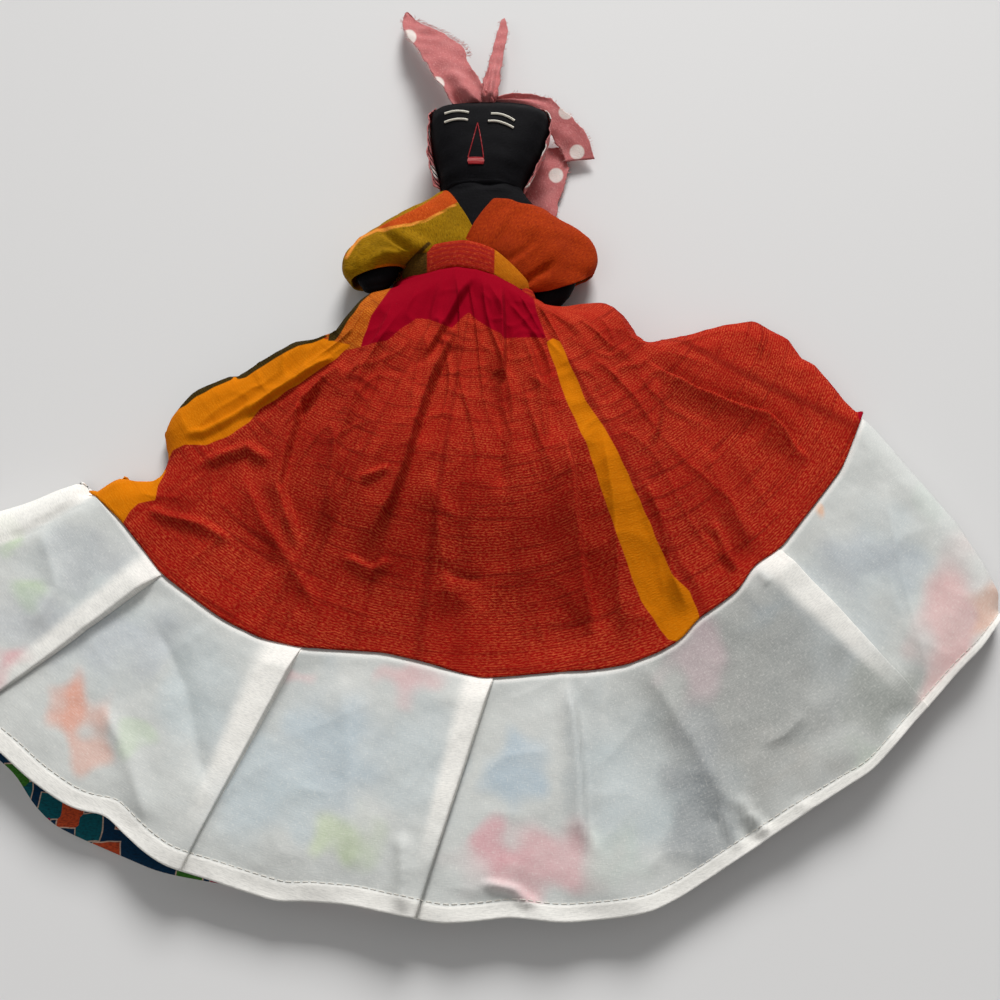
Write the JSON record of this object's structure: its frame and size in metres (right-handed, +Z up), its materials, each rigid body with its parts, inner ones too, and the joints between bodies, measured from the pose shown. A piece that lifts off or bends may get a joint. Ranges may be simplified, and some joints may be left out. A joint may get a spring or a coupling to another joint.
{
  "type": "topsy turvy doll",
  "caption": "Stuffed cloth rag doll lying on its back, with a second doll joined at the waist and hidden under a spread two-tier reversible skirt.",
  "frame": {"origin": "on the flat outside of the skirt's back, 30 mm below the waist seam on the doll's middle line", "axes": "+Z up from the table out of the front of the dolls, +Y along the spine toward the head of the doll that shows, +X to the right seen from above"},
  "size_m": [0.37, 0.3533, 0.0337],
  "materials": {
    "black_cotton": "matt plain-weave cotton, stuffed",
    "olive_plaid": "matt plaid cotton, olive with orange stripes",
    "orange_plaid": "matt plaid cotton, orange",
    "red_band": "matt plaid cotton, red orange with fine crimson lines",
    "red_madras": "matt slubby plaid cotton, red orange",
    "white_cotton": "matt thin white cotton",
    "print_cotton": "matt printed cotton, navy with orange, pink and green shapes",
    "pink_voile": "matt thin pink cotton with pale dots, torn edges"
  },
  "bodies": {
    "body": {"torso_a": "black_cotton", "bodice_left_a": "olive_plaid", "bodice_right_a": "orange_plaid", "waistband_a": "red_band", "skirt_front_a": "red_madras", "skirt_back_a": "red_madras", "flounce_front_a": "white_cotton", "flounce_back_a": "white_cotton", "skirt_front_b": "print_cotton", "skirt_back_b": "print_cotton", "torso_b": "black_cotton", "bodice_left_b": "print_cotton", "bodice_right_b": "print_cotton", "waistband_b": "red_band"},
    "head_a": {"head_a": "black_cotton", "kerchief_a": "pink_voile", "kerchief_knot_a": "pink_voile", "kerchief_end_wide_a": "pink_voile", "kerchief_end_narrow_a": "pink_voile", "kerchief_loop_a": "pink_voile", "kerchief_tail_a": "pink_voile"},
    "arm_left_a": {"arm_left_a": "black_cotton", "sleeve_left_a": "olive_plaid"},
    "arm_right_a": {"arm_right_a": "black_cotton", "sleeve_right_a": "orange_plaid"},
    "head_b": {"head_b": "black_cotton", "kerchief_b": "pink_voile", "kerchief_knot_b": "pink_voile", "kerchief_end_left_b": "pink_voile", "kerchief_end_right_b": "pink_voile"},
    "arm_left_b": {"arm_left_b": "black_cotton", "sleeve_left_b": "print_cotton"},
    "arm_right_b": {"arm_right_b": "black_cotton", "sleeve_right_b": "print_cotton"}
  },
  "joints": [
    {"name": "neck_a", "type": "hinge", "parent": "body", "child": "head_a", "pos_m": [0, 0.06, 0.01874], "axis": [1, 0, 0], "range_deg": [0, 60]},
    {"name": "shoulder_left_a", "type": "hinge", "parent": "body", "child": "arm_left_a", "pos_m": [-0.0221, 0.0468, 0.0196], "axis": [0, 1, 0], "range_deg": [0, 90]},
    {"name": "shoulder_right_a", "type": "hinge", "parent": "body", "child": "arm_right_a", "pos_m": [0.0221, 0.0468, 0.0196], "axis": [0, -1, 0], "range_deg": [0, 90]},
    {"name": "neck_b", "type": "hinge", "parent": "body", "child": "head_b", "pos_m": [0, -0.0135, 0.0157], "axis": [0, 0, 1], "range_deg": [-8, 8]},
    {"name": "shoulder_left_b", "type": "hinge", "parent": "body", "child": "arm_left_b", "pos_m": [-0.0259, -0.0003, 0.0141], "axis": [0, 0, -1], "range_deg": [-20, 25]},
    {"name": "shoulder_right_b", "type": "hinge", "parent": "body", "child": "arm_right_b", "pos_m": [0.0259, -0.0003, 0.0141], "axis": [0, 0, 1], "range_deg": [-20, 25]}
  ]
}
